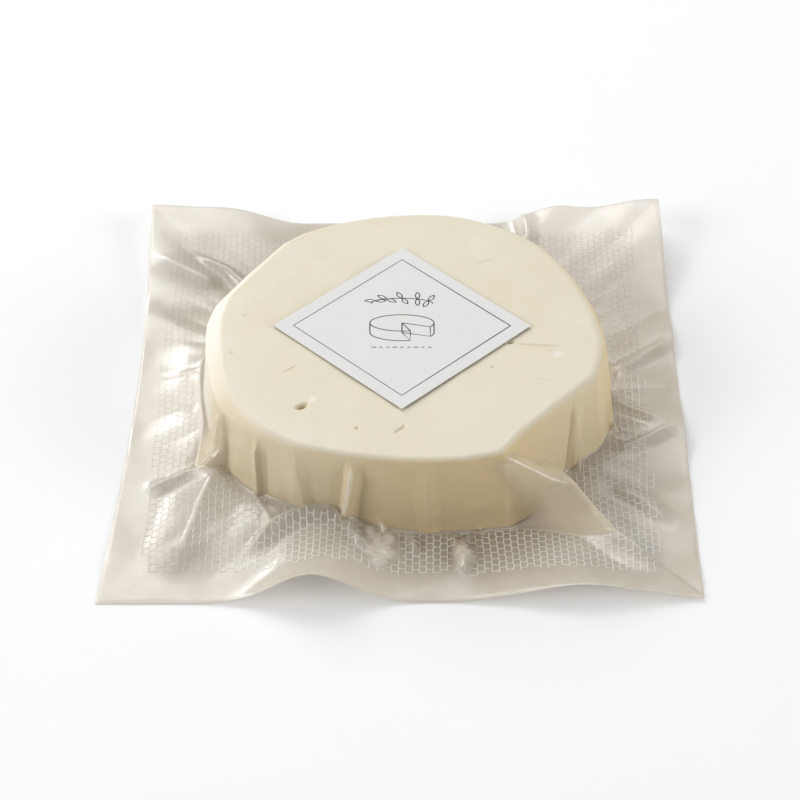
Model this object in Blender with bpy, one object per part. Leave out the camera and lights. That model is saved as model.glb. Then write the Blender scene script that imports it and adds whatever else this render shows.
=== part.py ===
"""A round of goat cheese sealed flat in a clear vacuum pouch, with a square paper label on top.

Metres, +Z up. The pack lies on the table at z = 0, and the origin is on the table under the
middle of the pouch. The near edge of the pouch faces -Y.
"""

import math

import bmesh
import bpy
from mathutils import Vector

# The cheese, and where its middle stands in the pouch
CHEESE_RADIUS = 0.0556
CHEESE_HEIGHT = 0.0244
CHEESE_X = 0.00135
CHEESE_Y = 0.0005
RIM_ROUND = 0.0030
RIM_ROUND_LEFT = 0.0022

# Bulges of the rim: bearing in degrees, size, spread in degrees
RIM_BULGES = [
    (-140, 0.0020, 14),
    (-64, 0.0010, 4),
]

# Straight stretches of the rim: bearing of the middle, depth, half the stretch in degrees
RIM_FLATS = [
    (-170, 0.0008, 18),
    (-97, 0.0020, 24),
    (-42, 0.0040, 21),
    (20, 0.0019, 26),
    (98, 0.0012, 24),
    (146, 0.0011, 15),
]

# The sealed film: how far it spreads past the rim at the foot of the side, and how thick the two
# layers are where they lie together
FILM_THICKNESS = 0.0008
FOOT_SPREAD = 0.0020
FOOT_CURVE = 1.6
FOOT_FORM = [
    (-172, 0.0030, 16),
    (-66, 0.0016, 14),
    (15, 0.0015, 20),
    (140, 0.0015, 18),
]

# Pleats of film that stand off the side: bearing at the rim and at the foot, reach at the foot,
# spread in degrees
PLEATS = [
    (-63, -46, 0.0230, 6.0),
    (-158, -149, 0.0170, 5.0),
    (-134, -130, 0.0042, 2.4),
    (-118, -117, 0.0018, 4.0),
    (-104, -106, 0.0048, 2.6),
    (-83, -83, 0.0034, 2.6),
    (-22, -35, 0.0034, 2.6),
    (62, 65, 0.0130, 4.5),
    (145, 137, 0.0130, 4.5),
]
PLEAT_CURVE = 1.05
PLEAT_SWING = 0.5

# Where the film is drawn up off the table at the foot of the side
FOOT_LIFT_BEARING = -121
FOOT_LIFT = 0.0042
FOOT_LIFT_SPREAD = 15

# The pouch's corners: x, y and lift above the table, from the front right, anticlockwise
POUCH_CORNERS = [
    Vector((0.0786, -0.0805, 0.0)),
    Vector((0.0770, 0.0825, 0.0088)),
    Vector((-0.0747, 0.0825, 0.0064)),
    Vector((-0.0786, -0.0825, 0.0)),
]
CORNER_FADE = 0.30
RIGHT, BACK, LEFT, FRONT = range(4)

# How far each side is drawn in at its middle
SIDE_BOW = {RIGHT: -0.0003, BACK: 0.0008, LEFT: 0.0026, FRONT: -0.0004}

# Waves of each side: place along the side from 0 to 1, height, spread
SIDE_WAVES = {
    RIGHT: [(0.405, 0.0026, 0.040), (0.663, 0.0024, 0.035)],
    BACK: [(0.215, 0.0044, 0.045), (0.829, 0.0024, 0.055)],
    LEFT: [(0.280, 0.0014, 0.030)],
    FRONT: [(0.356, 0.0102, 0.062), (0.805, 0.0058, 0.090)],
}
WAVE_REACH = 1.3

# Soft folds across the flat border: start, end, height, half width
FOLDS = [
    ((-0.0540, -0.0330), (-0.0735, -0.0790), 0.0030, 0.0065),
    ((-0.0140, -0.0500), (-0.0420, -0.0680), 0.0030, 0.0040),
    ((0.0560, -0.0010), (0.0720, -0.0130), 0.0026, 0.0045),
    ((0.0590, 0.0120), (0.0770, 0.0270), 0.0024, 0.0040),
    ((0.0570, -0.0240), (0.0770, -0.0160), 0.0028, 0.0050),
    ((-0.0410, 0.0420), (-0.0640, 0.0640), 0.0024, 0.0038),
    ((-0.0540, 0.0470), (-0.0760, 0.0620), 0.0018, 0.0060),
]

# The label, square and turned so that its corners point along the axes
LABEL_SIDE = 0.0500
LABEL_THICKNESS = 0.0003
LABEL_X = -0.0010
LABEL_Y = 0.0013
GAP = 0.0003

# How finely the pack is drawn: steps round it, and shares across each zone
STEPS_ROUND = 176
TOP_SHARES = [0.0, 0.45, 0.80, 1.0]
ROUND_DEGREES = [30, 60, 86]
WALL_SHARES = [0.10, 0.28, 0.50, 0.76, 1.0]
BORDER_SHARES = [0.06, 0.15, 0.28, 0.44, 0.62, 0.81, 1.0]
BASE_INSET = 0.0030

MATERIALS = {
    "vacuum_pack": ((0.80, 0.74, 0.60), 0.30),
    "label": ((0.86, 0.86, 0.84), 0.65),
}


def hump(bearing, centre, spread):
    """A rounded rise of height 1 at one bearing, all in degrees."""
    away = (bearing - centre + 180) % 360 - 180
    return math.exp(-0.5 * (away / spread) ** 2)


def smooth(share):
    share = min(1.0, max(0.0, share))
    return share * share * (3 - 2 * share)


def rim_radius(bearing):
    radius = CHEESE_RADIUS
    for centre, size, spread in RIM_BULGES:
        radius += size * hump(bearing, centre, spread)
    for centre, depth, half in RIM_FLATS:
        away = (bearing - centre + 180) % 360 - 180
        radius -= depth * max(0.0, 1 - (away / half) ** 2)
    return radius


def rim_round(bearing):
    return RIM_ROUND + RIM_ROUND_LEFT * hump(bearing, 170, 45)


def pleats_at(bearing, share):
    """How far the pleats stand out at a share of the way down the side, and how strongly."""
    reach = 0.0
    strength = 0.0
    for rim_bearing, foot_bearing, size, spread in PLEATS:
        crest = rim_bearing + (foot_bearing - rim_bearing) * share ** PLEAT_SWING
        rise = hump(bearing, crest, spread)
        reach += size * share * rise
        strength += rise
    return reach, min(1.0, strength)


def foot_spread(bearing):
    return FOOT_SPREAD + sum(size * hump(bearing, at, spread) for at, size, spread in FOOT_FORM)


def foot_radius(bearing):
    return rim_radius(bearing) + foot_spread(bearing) + pleats_at(bearing, 1.0)[0]


def foot_lift(bearing):
    return FOOT_LIFT * hump(bearing, FOOT_LIFT_BEARING, FOOT_LIFT_SPREAD)


def outline(bearing):
    """The edge of the pouch in one direction from its middle: x, y and lift."""
    side = int((bearing + 45) % 360 // 90)
    turn = (bearing + 45) % 90 - 45
    share = (math.tan(math.radians(turn)) + 1) / 2
    start = POUCH_CORNERS[side]
    end = POUCH_CORNERS[(side + 1) % 4]
    flat = start.lerp(end, share)
    inward = Vector((start.y - end.y, end.x - start.x, 0)).normalized()
    flat += inward * SIDE_BOW[side] * math.sin(math.pi * share)
    lift = start.z * (1 - smooth(share / CORNER_FADE))
    lift += end.z * (1 - smooth((1 - share) / CORNER_FADE))
    for place, height, spread in SIDE_WAVES[side]:
        lift += height * math.exp(-0.5 * ((share - place) / spread) ** 2)
    return Vector((flat.x, flat.y, lift))


def along(point, start, end):
    """How far along a crest a point lies, from 0 to 1, and how far from it."""
    line = end - start
    share = min(1.0, max(0.0, (point - start).dot(line) / line.length_squared))
    return share, (point - start - line * share).length


def fold_lift(point):
    lift = 0.0
    for start, end, height, half_width in FOLDS:
        share, away = along(point, Vector(start), Vector(end))
        taper = smooth(share / 0.25) * smooth((1 - share) / 0.35)
        lift += height * taper * (1 - smooth(away / half_width))
    return lift


def border_point(bearing, share):
    """A point of the lower film between the cheese's foot (0) and the pouch's edge (1)."""
    angle = math.radians(bearing)
    foot = Vector((math.cos(angle), math.sin(angle))) * foot_radius(bearing)
    edge = outline(bearing)
    edge_flat = edge.xy - Vector((CHEESE_X, CHEESE_Y))
    flat = foot.lerp(edge_flat, share)
    lift = foot_lift(bearing) * (1 - share) ** 2 + edge.z * share ** WAVE_REACH
    return Vector((flat.x, flat.y, lift + fold_lift(flat)))


def cheese_point(bearing, zone, share):
    """A point of the film on the cheese: across the top, round the rim or down the side."""
    angle = math.radians(bearing)
    rim = rim_radius(bearing)
    radius = rim_round(bearing)
    if zone == "top":
        reach = (rim - radius) * share
        height = CHEESE_HEIGHT
    elif zone == "round":
        turn = math.radians(share)
        reach = rim - radius + radius * math.sin(turn)
        height = CHEESE_HEIGHT - radius + radius * math.cos(turn)
    else:
        foot = border_point(bearing, 0.0).z + FILM_THICKNESS
        pleat_reach, strength = pleats_at(bearing, share)
        curve = FOOT_CURVE + (PLEAT_CURVE - FOOT_CURVE) * strength
        reach = rim + foot_spread(bearing) * share + pleat_reach
        height = foot + (CHEESE_HEIGHT - radius - foot) * (1 - share) ** curve
    return Vector((reach * math.cos(angle), reach * math.sin(angle), height))


def pack_point(bearing, zone, share):
    """A point of the whole pack, measured from the cheese's middle."""
    if zone == "base":
        angle = math.radians(bearing)
        reach = (rim_radius(bearing) - BASE_INSET) * share
        return Vector((reach * math.cos(angle), reach * math.sin(angle), 0))
    if zone == "lower":
        return border_point(bearing, share)
    if zone == "border":
        return border_point(bearing, share) + Vector((0, 0, FILM_THICKNESS))
    return cheese_point(bearing, zone, share)


def material_for(name):
    colour, roughness = MATERIALS[name]
    material = bpy.data.materials.new(name)
    material.use_nodes = True
    shader = material.node_tree.nodes["Principled BSDF"]
    shader.inputs["Base Color"].default_value = (*colour, 1.0)
    shader.inputs["Roughness"].default_value = roughness
    shader.inputs["Metallic"].default_value = 0.0
    return material


def start_collection():
    for old in list(bpy.data.objects):
        bpy.data.objects.remove(old, do_unlink=True)
    collection = bpy.data.collections.new("vacuum_packed_goat_cheese")
    bpy.context.scene.collection.children.link(collection)
    return collection


def build_pack(collection):
    """The sealed pack: a turned blank, each of whose points is then drawn to its place."""
    stations = [("top", share) for share in TOP_SHARES]
    stations += [("round", degrees) for degrees in ROUND_DEGREES]
    stations += [("wall", share) for share in WALL_SHARES]
    stations += [("border", share) for share in BORDER_SHARES]
    upper_count = len(stations)
    stations += [("lower", share) for share in reversed([0.0] + BORDER_SHARES)]
    stations += [("base", 1.0), ("base", 0.0)]

    blank = bmesh.new()
    station_of = blank.verts.layers.int.new("station")
    profile = []
    for number in range(len(stations)):
        upper = number < upper_count
        reach = number if upper else len(stations) - 1 - number
        vertex = blank.verts.new((reach, 0, 1 if upper else -1))
        vertex[station_of] = number
        profile.append(vertex)
    edges = [blank.edges.new(pair) for pair in zip(profile, profile[1:])]
    bmesh.ops.spin(
        blank, geom=profile + edges, cent=(0, 0, 0), axis=(0, 0, 1), angle=2 * math.pi,
        steps=STEPS_ROUND, use_merge=True,
    )
    bmesh.ops.remove_doubles(blank, verts=blank.verts, dist=0.0001)
    for vertex in blank.verts:
        zone, share = stations[vertex[station_of]]
        bearing = math.degrees(math.atan2(vertex.co.y, vertex.co.x))
        vertex.co = pack_point(bearing, zone, share) + Vector((CHEESE_X, CHEESE_Y, 0))
    bmesh.ops.triangulate(blank, faces=blank.faces)
    bmesh.ops.recalc_face_normals(blank, faces=blank.faces)

    mesh = bpy.data.meshes.new("vacuum_pack")
    blank.to_mesh(mesh)
    blank.free()
    mesh.shade_smooth()
    mesh.set_sharp_from_angle(angle=math.radians(40))
    mesh.materials.append(material_for("vacuum_pack"))
    pack = bpy.data.objects.new("vacuum_pack", mesh)
    collection.objects.link(pack)
    return pack


def build_label(collection):
    """The paper label, a thin square plate turned by an eighth of a turn."""
    blank = bmesh.new()
    bmesh.ops.create_cube(blank, size=1.0)
    bmesh.ops.scale(blank, vec=(LABEL_SIDE, LABEL_SIDE, LABEL_THICKNESS), verts=blank.verts)
    mesh = bpy.data.meshes.new("label")
    blank.to_mesh(mesh)
    blank.free()
    mesh.materials.append(material_for("label"))
    label = bpy.data.objects.new("label", mesh)
    collection.objects.link(label)
    height = CHEESE_HEIGHT + GAP + LABEL_THICKNESS / 2
    label.location = (CHEESE_X + LABEL_X, CHEESE_Y + LABEL_Y, height)
    label.rotation_euler.z = math.radians(45)
    return label


def main():
    collection = start_collection()
    build_pack(collection)
    build_label(collection)


main()
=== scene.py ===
import math

import bpy
import numpy as np
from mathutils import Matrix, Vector


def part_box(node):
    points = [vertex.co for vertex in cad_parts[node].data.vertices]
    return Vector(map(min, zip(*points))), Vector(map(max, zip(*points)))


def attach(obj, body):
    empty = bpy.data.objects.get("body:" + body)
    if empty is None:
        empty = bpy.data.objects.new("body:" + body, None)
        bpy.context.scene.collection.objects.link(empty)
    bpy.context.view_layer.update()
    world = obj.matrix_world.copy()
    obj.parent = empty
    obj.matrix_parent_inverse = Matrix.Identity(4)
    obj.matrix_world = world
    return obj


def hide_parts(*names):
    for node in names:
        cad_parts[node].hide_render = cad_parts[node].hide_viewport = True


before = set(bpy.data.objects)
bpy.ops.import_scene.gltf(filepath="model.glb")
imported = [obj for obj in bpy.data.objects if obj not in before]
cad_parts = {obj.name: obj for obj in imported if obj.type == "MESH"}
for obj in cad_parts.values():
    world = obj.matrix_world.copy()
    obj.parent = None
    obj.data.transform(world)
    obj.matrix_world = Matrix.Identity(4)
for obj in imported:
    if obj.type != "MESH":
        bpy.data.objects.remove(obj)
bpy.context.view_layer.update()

# The camera
# A long lens looks down on the pack at about 40 degrees from in front of its near edge, so the
# round shows as a wide oval and the pouch's two sides draw together towards the back.
CAMERA_PLACE = Vector((0.00135, -0.6178, 0.5197))
CAMERA_AIM = Vector((-0.00015, -0.0146, 0.0120))
CAMERA_LENS_MM = 129.9
SENSOR_MM = 36.0

camera_data = bpy.data.cameras.new("camera")
camera_data.lens = CAMERA_LENS_MM
camera_data.sensor_width = SENSOR_MM
camera_data.clip_start = 0.01
camera = bpy.data.objects.new("camera", camera_data)
camera.location = CAMERA_PLACE
camera.rotation_euler = (CAMERA_AIM - CAMERA_PLACE).to_track_quat("-Z", "Y").to_euler()
bpy.context.scene.collection.objects.link(camera)
bpy.context.scene.camera = camera


# The round of cheese
# Soft goat's curd, set in a low mould, turned out, salted and chilled. The vacuum has pulled the
# film tight over it, so its rim is pressed into flats and corners, its left shoulder is bevelled
# and the film's pleats have left ridges down its side. It stands loose on the lower film.
CHEESE_X = 0.00135
CHEESE_Y = 0.0005
CHEESE_RADIUS = 0.0556
CHEESE_HEIGHT = 0.0243
RIM_ROUND = 0.0013
RIM_ROUND_LEFT = 0.0034
RIM_ROUND_RIGHT = 0.0022
BEVEL_BEARING = 168

# Bulges of the rim: bearing in degrees, size, spread in degrees. Flats: bearing of the middle,
# depth, half the stretch in degrees. The foot spreads in the same way as the rim bulges
RIM_BULGES = [(-140, 0.0020, 14), (-64, 0.0010, 4)]
RIM_FLATS = [
    (-170, 0.0008, 18), (-97, 0.0020, 24), (-42, 0.0040, 21),
    (20, 0.0019, 26), (98, 0.0012, 24), (146, 0.0017, 16),
]
FOOT_SPREAD = 0.0020
FOOT_CURVE = 1.6
FOOT_FORM = [(-55, 0.0042, 6.5), (15, 0.0015, 20), (140, 0.0015, 18)]

# Ridges (and, below nought, grooves) down the side: bearing at the rim and at the foot, how far
# out they stand, and their half widths before and after the crest in degrees
SIDE_RIDGES = [
    (-148, -152, 0.0012, 7.0, 2.2), (-144.5, -149, -0.0006, 1.6, 6.0),
    (-133, -131, 0.0014, 1.9, 1.5), (-130.4, -128.8, -0.0005, 1.1, 4.0),
    (-121, -116, 0.0009, 5.5, 3.5), (-107.2, -109.5, -0.0003, 3.4, 1.0),
    (-104.4, -106.9, 0.0019, 2.6, 2.2), (-101.4, -104.0, -0.0005, 1.0, 6.0),
    (-84, -83, 0.0009, 4.6, 3.2),
    (-31.4, -36.8, -0.0009, 0.7, 0.6), (-29.8, -35.2, 0.0004, 0.9, 3.4),
    (-8, -10, 0.0006, 4.0, 2.6), (48, 50, 0.0007, 2.6, 3.2), (84, 82, 0.0008, 2.6, 2.6),
    (121, 119, 0.0007, 3.2, 3.2), (166, 164, 0.0006, 2.6, 4.0),
]

# Small faults of the top, from its middle: holes as x, y, half length, half width, depth and turn
# in degrees, cracks as start, end, depth and half width, and lips with a painted highlight as x, y, reach and
# height
HOLES = [
    (-0.0276, -0.0322, 0.0022, 0.0012, 0.0016, 30),
    (-0.0443, 0.0065, 0.0007, 0.0004, 0.0005, 10),
    (-0.0472, -0.0097, 0.0010, 0.0004, 0.0004, 15),
    (-0.0128, -0.0412, 0.0009, 0.0006, 0.0005, 60),
    (0.0285, -0.0052, 0.0014, 0.0007, 0.0009, 15),
    (0.0235, -0.0155, 0.0007, 0.0005, 0.0004, 0),
]
CRACKS = [
    ((0.0300, -0.0058), (0.0430, -0.0070), 0.00026, 0.00060),
    ((-0.0030, -0.0430), (0.0005, -0.0398), 0.00050, 0.00060),
    ((0.0195, 0.0300), (0.0255, 0.0325), 0.00022, 0.00050),
    ((-0.0330, -0.0185), (-0.0290, -0.0150), 0.00022, 0.00050),
    ((0.0340, -0.0205), (0.0400, -0.0215), 0.00015, 0.00050),
    ((-0.0245, 0.0330), (-0.0215, 0.0335), 0.00015, 0.00045),
]
LIPS = [(-0.0247, -0.0295, 0.0018, 0.00014), (0.0415, -0.0105, 0.0020, 0.00010)]

CHEESE_STEPS_FRONT = 560
CHEESE_STEPS_BACK = 240
NEAR_SIDE = (-185, 5)
WALL_SHARES = np.linspace(0.0, 0.93, 30)
FOOT_TUCK = 0.0009
CHEESE_LOWEST = 0.0006
TOP_EDGE = 0.02435
GROOVE_DEPTH = 0.0011
TOP_SWELL = 0.00012
TOP_PITS = 0.00003
SIDE_SWELL = 0.00012
CHEESE_LIGHT = (0.800, 0.748, 0.605, 1.0)
CHEESE_DEEP = (0.780, 0.718, 0.560, 1.0)
CHEESE_PALE = (0.830, 0.790, 0.675, 1.0)
CHEESE_SIDE_SHADE = (0.715, 0.547, 0.298, 1.0)
CHEESE_HIGHLIGHT = (0.880, 0.840, 0.755, 1.0)
HOLLOW_SHADE_TAN = (0.480, 0.370, 0.160, 1.0)


def wrap(degrees):
    return (degrees + 180) % 360 - 180


def smooth(share):
    """From 0 to 1 with a soft start and a soft end."""
    share = np.clip(share, 0.0, 1.0)
    return share * share * (3 - 2 * share)


def hump(bearing, centre, spread):
    """A rounded rise of height 1 at one bearing, all in degrees."""
    return np.exp(-0.5 * (wrap(bearing - centre) / spread) ** 2)


def bearings(front_steps, back_steps):
    """Bearings once round the pack in degrees, closer together on its near side."""
    start, end = NEAR_SIDE
    front = np.linspace(start, end, front_steps, endpoint=False)
    back = np.linspace(end, start + 360, back_steps, endpoint=False)
    return np.concatenate([front, back])


def rim_radius(bearing):
    radius = CHEESE_RADIUS + 0.0 * bearing
    for centre, size, spread in RIM_BULGES:
        radius = radius + size * hump(bearing, centre, spread)
    for centre, depth, half in RIM_FLATS:
        radius = radius - depth * np.maximum(0.0, 1 - (wrap(bearing - centre) / half) ** 2)
    return radius


def rim_round(bearing):
    left = RIM_ROUND_LEFT * hump(bearing, BEVEL_BEARING, 42)
    return RIM_ROUND + left + RIM_ROUND_RIGHT * hump(bearing, 5, 38)


def shoulder(bearing, turn):
    """The rim's profile: how far out and how far down, from 0 to 1, at a turn off the level."""
    flat = hump(bearing, BEVEL_BEARING, 45)
    even = turn / 90.0
    turn = math.radians(turn)
    return math.sin(turn) * (1 - flat) + even * flat, (1 - math.cos(turn)) * (1 - flat) + even * flat


def foot_spread(bearing):
    return FOOT_SPREAD + sum(size * hump(bearing, at, spread) for at, size, spread in FOOT_FORM)


def side_relief(bearing, share):
    """Ridges and grooves down the side, from the rim (0) to the foot (1)."""
    relief = 0.0 * bearing
    for at_rim, at_foot, size, before, after in SIDE_RIDGES:
        away = wrap(bearing - at_rim - (at_foot - at_rim) * share)
        near = np.where(away < 0, -away / before, away / after)
        relief = relief + size * np.clip(1 - near, 0.0, 1.0) ** 1.2 * smooth((share + 0.03) / 0.20)
    return relief


def ripples(x, y, wavelength, seed, waves=9):
    """A gentle uneven field from -1 to 1: a few plane waves in random directions."""
    draw = np.random.default_rng(seed)
    field = 0.0
    for _ in range(waves):
        turn, phase = draw.uniform(0, 2 * math.pi, 2)
        stretch = draw.uniform(0.6, 1.6)
        reach = (x * math.cos(turn) + y * math.sin(turn)) / (wavelength * stretch)
        field = field + np.sin(2 * math.pi * reach + phase)
    return field / math.sqrt(waves) / 1.6


def off_line(x, y, points):
    """How far along a line of points each place lies, from 0 to 1, and how far to its left."""
    points = np.array(points)
    lengths = np.hypot(*(points[1:] - points[:-1]).T)
    best = np.full(np.shape(x), 1e9)
    share, side = np.zeros_like(best), np.zeros_like(best)
    for number, (start, end) in enumerate(zip(points[:-1], points[1:])):
        way = (end - start) / lengths[number]
        along = np.clip((x - start[0]) * way[0] + (y - start[1]) * way[1], 0.0, lengths[number])
        off_x, off_y = x - start[0] - along * way[0], y - start[1] - along * way[1]
        away = np.hypot(off_x, off_y)
        nearer = away < best
        best = np.where(nearer, away, best)
        share = np.where(nearer, (lengths[:number].sum() + along) / lengths.sum(), share)
        side = np.where(nearer, np.where(way[0] * off_y - way[1] * off_x < 0, -away, away), side)
    return share, side


def closed_loft(name, rings, centres):
    """A closed skin over rings of points, from the middle of the top round to that of the base."""
    count, steps, _ = rings.shape
    points = np.concatenate([rings.reshape(-1, 3), np.array(centres)])
    ring, step = np.meshgrid(np.arange(count - 1), np.arange(steps), indexing="ij")
    after = (step + 1) % steps
    corners = [ring * steps + step, (ring + 1) * steps + step, (ring + 1) * steps + after]
    corners.append(ring * steps + after)
    faces = np.stack(corners, -1).reshape(-1, 4).tolist()
    top, base, last = count * steps, count * steps + 1, (count - 1) * steps
    for number in range(steps):
        faces.append([top, number, (number + 1) % steps])
        faces.append([base, last + (number + 1) % steps, last + number])
    mesh = bpy.data.meshes.new(name)
    mesh.from_pydata(points.tolist(), [], faces)
    mesh.shade_smooth()
    return mesh


def paint(mesh, name, values):
    layer = mesh.attributes.new(name, "FLOAT", "POINT")
    layer.data.foreach_set("value", np.asarray(values, np.float32).ravel())


def place_piece(name, mesh, material=None):
    if material is not None:
        mesh.materials.append(material)
    piece = bpy.data.objects.new(name, mesh)
    bpy.context.scene.collection.objects.link(piece)
    return piece


def cheese_faults(x, y):
    """How far holes and cracks sink below the top, and how much shade is painted inside them."""
    sink = np.zeros_like(x)
    dark = np.zeros_like(x)
    for hole_x, hole_y, length, width, depth, turn in HOLES:
        turn = math.radians(turn)
        along = (x - hole_x) * math.cos(turn) + (y - hole_y) * math.sin(turn)
        across = (y - hole_y) * math.cos(turn) - (x - hole_x) * math.sin(turn)
        inside = 1 - smooth(np.hypot(along / length, across / width) - 0.1)
        sink += depth * inside
        dark = np.maximum(dark, inside * min(1.0, depth / 0.0010))
    for start, end, depth, half_width in CRACKS:
        share, away = off_line(x, y, [start, end])
        inside = (1 - smooth(abs(away) / half_width)) * smooth(share / 0.2 + 0.2) * smooth((1 - share) / 0.3)
        sink += depth * inside
        dark = np.maximum(dark, 0.45 * inside * min(1.0, depth / 0.0004))
    for lip_x, lip_y, reach, height in LIPS:
        sink -= height * (1 - smooth(np.hypot(x - lip_x, y - lip_y) / reach))
    return sink, dark


def build_cheese():
    bearing = bearings(CHEESE_STEPS_FRONT, CHEESE_STEPS_BACK)
    angle = np.radians(bearing)
    rim, radius = rim_radius(bearing), rim_round(bearing)
    reach, height, groove = [], [], []
    for share in np.concatenate([np.linspace(0.08, 0.44, 7), np.linspace(0.46, 1.0, 58)]):
        reach.append((rim - radius) * share)
        height.append(np.full_like(bearing, CHEESE_HEIGHT))
        groove.append(0.0 * bearing)
    for turn in np.linspace(9, 85, 9):
        out, down = shoulder(bearing, turn)
        reach.append(rim - radius + radius * out)
        height.append(CHEESE_HEIGHT - radius * down)
        groove.append(0.0 * bearing)
    for share in WALL_SHARES:
        relief = side_relief(bearing, share)
        reach.append(rim + foot_spread(bearing) * share + relief)
        height.append((CHEESE_HEIGHT - radius) * (1 - share) ** FOOT_CURVE)
        groove.append(np.clip(-relief / GROOVE_DEPTH, 0.0, 1.0))
    low_reach, low_height = reach[-1], height[-1]
    for turn in np.radians(np.linspace(15, 90, 6)):
        reach.append(low_reach - FOOT_TUCK * (1 - math.cos(turn)))
        height.append(low_height - (low_height - CHEESE_LOWEST) * math.sin(turn))
        groove.append(0.0 * bearing)

    reach, height, groove = np.array(reach), np.array(height), np.array(groove)
    x, y = reach * np.cos(angle), reach * np.sin(angle)
    sink, dark = cheese_faults(x, y)
    on_top = smooth((height - 0.0222) / 0.0016)
    swell = TOP_SWELL * ripples(x, y, 0.022, 3) + TOP_PITS * ripples(x, y, 0.006, 4)
    height = height + on_top * (swell - sink)
    bulge = SIDE_SWELL * ripples(x, height * 2.5 + y, 0.016, 8) * (1 - on_top)
    x, y = x * (1 + bulge / CHEESE_RADIUS), y * (1 + bulge / CHEESE_RADIUS)

    rings = np.stack([x + CHEESE_X, y + CHEESE_Y, height], -1)
    centres = [(CHEESE_X, CHEESE_Y, CHEESE_HEIGHT), (CHEESE_X, CHEESE_Y, CHEESE_LOWEST)]
    mesh = closed_loft("cheese_round", rings, centres)
    # Painted shade: the side's darker, warmer tan, left off on the left and in two narrow patches on the near
    # side, where light falls.
    spared_where_lit = hump(bearing, 170, 36) + 0.35 * hump(bearing, -116, 13) + 0.35 * hump(bearing, -30, 13)
    side = smooth((TOP_EDGE - height) / 0.0015) * (1 - np.minimum(spared_where_lit, 1.0))
    # Painted shade in the hollows: darker the deeper inside holes and cracks, and along the side's grooves.
    paint(mesh, "hollow_shade", np.concatenate([np.maximum(dark * on_top, 0.28 * groove).ravel(), [0, 0]]))
    paint(mesh, "side", np.concatenate([side.ravel(), [0, 1]]))
    # Painted highlight: paler on the left bevel and on curls round the lips, where light catches them.
    painted_highlight = smooth((TOP_EDGE - height) / 0.0012) * hump(bearing, 170, 22)
    for curl_x, curl_y, reach, _ in LIPS:
        away = np.hypot(x - curl_x, y - curl_y) / reach + 0.35 * ripples(x, y, 0.0016, 5)
        painted_highlight = np.maximum(painted_highlight, (1 - smooth(away)) * on_top)
    paint(mesh, "painted_highlight", np.concatenate([painted_highlight.ravel(), [0, 0]]))
    return mesh


def node(tree, kind, settings=None, **inputs):
    """A node, its own settings and its inputs: s and a number, or the name with _ for a space."""
    made = tree.nodes.new(kind)
    for name, value in (settings or {}).items():
        setattr(made, name, value)
    for name, value in inputs.items():
        numbered = name[0] == "s" and name[1:].isdigit()
        socket = made.inputs[int(name[1:])] if numbered else made.inputs[name.replace("_", " ")]
        if isinstance(value, bpy.types.NodeSocket):
            tree.links.new(value, socket)
        else:
            socket.default_value = value
    return made


def calculate(tree, operation, first, second=0.0, third=0.0):
    made = node(tree, "ShaderNodeMath", {"operation": operation}, s0=first, s1=second, s2=third)
    return made.outputs[0]


def blend_colours(tree, share, first, second):
    made = node(tree, "ShaderNodeMix", {"data_type": "RGBA"}, s0=share, s6=first, s7=second)
    return made.outputs[2]


def painted(tree, name):
    return node(tree, "ShaderNodeAttribute", {"attribute_name": name}).outputs["Fac"]


def new_material(name):
    material = bpy.data.materials.new(name)
    material.use_nodes = True
    material.node_tree.nodes.clear()
    return material, material.node_tree


def finish_material(tree, shader):
    output = tree.nodes.new("ShaderNodeOutputMaterial")
    tree.links.new(shader.outputs[0], output.inputs["Surface"])


def cheese_material():
    """Ivory curd: cloudy patches, a fine grain and a moist sheen, with painted shade in a darker, warmer side
    and in the hollows, and a painted highlight on the left bevel and the lips.
    """
    material, tree = new_material("goat_cheese_curd")
    place = node(tree, "ShaderNodeTexCoord").outputs["Object"]
    clouds = node(tree, "ShaderNodeTexNoise", Vector=place, Scale=38.0, Detail=3.0, Roughness=0.55)
    patches = node(tree, "ShaderNodeTexNoise", Vector=place, Scale=95.0, Detail=4.0, Roughness=0.6)
    grain = node(tree, "ShaderNodeTexNoise", Vector=place, Scale=1500.0, Detail=2.0)
    cloudy = node(tree, "ShaderNodeMapRange", Value=clouds.outputs[0], From_Min=0.35, From_Max=0.68)
    patchy = node(
        tree, "ShaderNodeMapRange", Value=patches.outputs[0], From_Min=0.50, From_Max=0.72, To_Max=0.35,
    )
    colour = blend_colours(tree, cloudy.outputs[0], CHEESE_DEEP, CHEESE_LIGHT)
    colour = blend_colours(tree, patchy.outputs[0], colour, CHEESE_PALE)
    # Painted shade: the side's darker, warmer tan.
    colour = blend_colours(tree, calculate(tree, "MULTIPLY", painted(tree, "side"), 0.9), colour, CHEESE_SIDE_SHADE)
    # Painted highlight on the left bevel and round the lips.
    colour = blend_colours(tree, painted(tree, "painted_highlight"), colour, CHEESE_HIGHLIGHT)
    # Painted shade in the holes, cracks and grooves.
    colour = blend_colours(tree, calculate(tree, "MULTIPLY", painted(tree, "hollow_shade"), 0.85), colour, HOLLOW_SHADE_TAN)
    rough = node(tree, "ShaderNodeMapRange", Value=patches.outputs[0], To_Min=0.44, To_Max=0.62)
    relief = calculate(tree, "MULTIPLY_ADD", grain.outputs[0], 0.10, patches.outputs[0])
    bump = node(tree, "ShaderNodeBump", Height=relief, Strength=0.6, Distance=0.0008)
    shader = node(
        tree, "ShaderNodeBsdfPrincipled", Base_Color=colour, Roughness=rough.outputs[0],
        Normal=bump.outputs[0], Subsurface_Weight=0.14, Subsurface_Scale=0.0016,
        Subsurface_Radius=(1.0, 0.72, 0.42), Specular_IOR_Level=0.25,
    )
    finish_material(tree, shader)
    return material


cheese = place_piece("cheese_round", build_cheese(), cheese_material())
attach(cheese, "root")


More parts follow.
